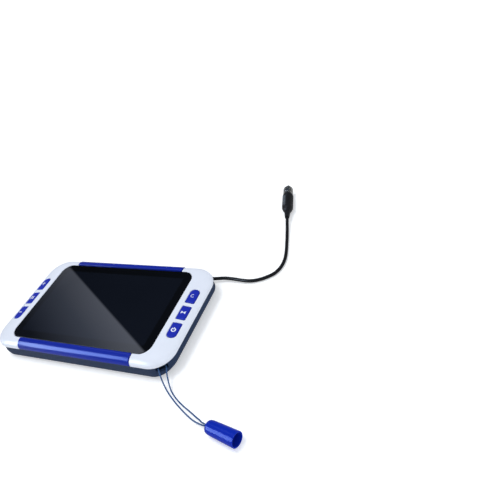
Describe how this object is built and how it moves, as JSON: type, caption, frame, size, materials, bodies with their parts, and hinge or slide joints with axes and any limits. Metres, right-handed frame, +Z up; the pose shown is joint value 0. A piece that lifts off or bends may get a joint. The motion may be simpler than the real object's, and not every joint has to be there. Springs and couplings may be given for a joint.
{
  "type": "low vision magnifier",
  "caption": "Flat handheld electronic magnifier: black screen in a white shell with blue grip rails, blue keys at both ends, a navy back, an AV lead and a lanyard with a hollow toggle.",
  "frame": {"origin": "under the middle of the body, on the plane that the four rubber feet stand on", "axes": "+X along the long side to the right as the user reads the screen, +Y away from the user to the rear wall with the sockets, +Z up out of the screen"},
  "size_m": [0.2176, 0.2409, 0.0178],
  "materials": {
    "white_shell": "satin-gloss cool white moulding",
    "rail_blue": "high-gloss royal blue moulding",
    "rear_navy": "fine-textured dark slate navy moulding",
    "screen_glass": "polished black-backed cover glass; opaque in use because the screen is off",
    "button_blue": "satin deep blue keys with white symbols",
    "toggle_blue": "gloss royal blue moulding",
    "lens_clear": "clear coated optic",
    "lamp_clear": "clear lamp plastic",
    "black_plastic": "satin black moulding",
    "lcd_black": "polished polariser",
    "black_rubber": "matt rubber",
    "board_green": "solder-masked circuit board",
    "battery_wrap": "heat-shrunk battery wrap",
    "steel": "plain steel",
    "nickel": "nickel plated",
    "foam": "closed-cell foam tape",
    "cord_black": "gloss black cord jacket",
    "lanyard_cord": "braided dark blue cord"
  },
  "bodies": {
    "housing": {"av_lead": "cord_black", "av_plug_body": "black_plastic", "av_plug_pin": "nickel", "av_plug_relief": "black_rubber", "av_socket": "black_plastic", "battery": "battery_wrap", "battery_contacts": "nickel", "camera_board": "board_green", "camera_housing": "black_plastic", "camera_lens": "lens_clear", "camera_window": "lens_clear", "case_screw_1": "steel", "case_screw_2": "steel", "case_screw_3": "steel", "case_screw_4": "steel", "charge_controller": "black_plastic", "charge_socket": "nickel", "far_plug_grip": "black_plastic", "far_plug_pin": "nickel", "far_plug_ring": "nickel", "front_rail": "rail_blue", "front_shell": "white_shell", "image_processor": "black_plastic", "key_switch_left_front": "steel", "key_switch_left_middle": "steel", "key_switch_left_rear": "steel", "key_switch_right_front": "steel", "key_switch_right_middle": "steel", "key_switch_right_rear": "steel", "lamp_left": "lamp_clear", "lamp_right": "lamp_clear", "lamp_window_left": "lamp_clear", "lamp_window_right": "lamp_clear", "lanyard_knot": "lanyard_cord", "lanyard_post": "steel", "lanyard_strand_front": "lanyard_cord", "lanyard_strand_rear": "lanyard_cord", "lanyard_toggle": "toggle_blue", "lcd_bracket": "steel", "lcd_panel": "lcd_black", "left_key_board": "board_green", "main_board": "board_green", "memory_chip": "black_plastic", "rear_rail": "rail_blue", "rear_shell": "rear_navy", "right_key_board": "board_green", "rubber_foot_1": "black_rubber", "rubber_foot_2": "black_rubber", "rubber_foot_3": "black_rubber", "rubber_foot_4": "black_rubber", "screen_gasket": "foam", "screen_glass": "screen_glass"},
    "button_left_rear": {"button_left_rear": "button_blue"},
    "button_left_middle": {"button_left_middle": "button_blue"},
    "button_left_front": {"button_left_front": "button_blue"},
    "button_right_rear": {"button_right_rear": "button_blue"},
    "button_right_middle": {"button_right_middle": "button_blue"},
    "button_right_front": {"button_right_front": "button_blue"},
    "battery_door": {"battery_door": "rear_navy"}
  },
  "joints": [
    {"name": "press_left_rear", "type": "slide", "parent": "housing", "child": "button_left_rear", "axis": [0, 0, -1], "range_m": [0, 0.0008], "stiffness_N_per_m": 1800},
    {"name": "press_left_middle", "type": "slide", "parent": "housing", "child": "button_left_middle", "axis": [0, 0, -1], "range_m": [0, 0.0008], "stiffness_N_per_m": 1800},
    {"name": "press_left_front", "type": "slide", "parent": "housing", "child": "button_left_front", "axis": [0, 0, -1], "range_m": [0, 0.0008], "stiffness_N_per_m": 1800},
    {"name": "press_right_rear", "type": "slide", "parent": "housing", "child": "button_right_rear", "axis": [0, 0, -1], "range_m": [0, 0.0008], "stiffness_N_per_m": 1800},
    {"name": "press_right_middle", "type": "slide", "parent": "housing", "child": "button_right_middle", "axis": [0, 0, -1], "range_m": [0, 0.0008], "stiffness_N_per_m": 1800},
    {"name": "press_right_front", "type": "slide", "parent": "housing", "child": "button_right_front", "axis": [0, 0, -1], "range_m": [0, 0.0008], "stiffness_N_per_m": 1800},
    {"name": "battery_door_slide", "type": "slide", "parent": "housing", "child": "battery_door", "axis": [-1, 0, 0], "range_m": [0, 0.074]}
  ]
}
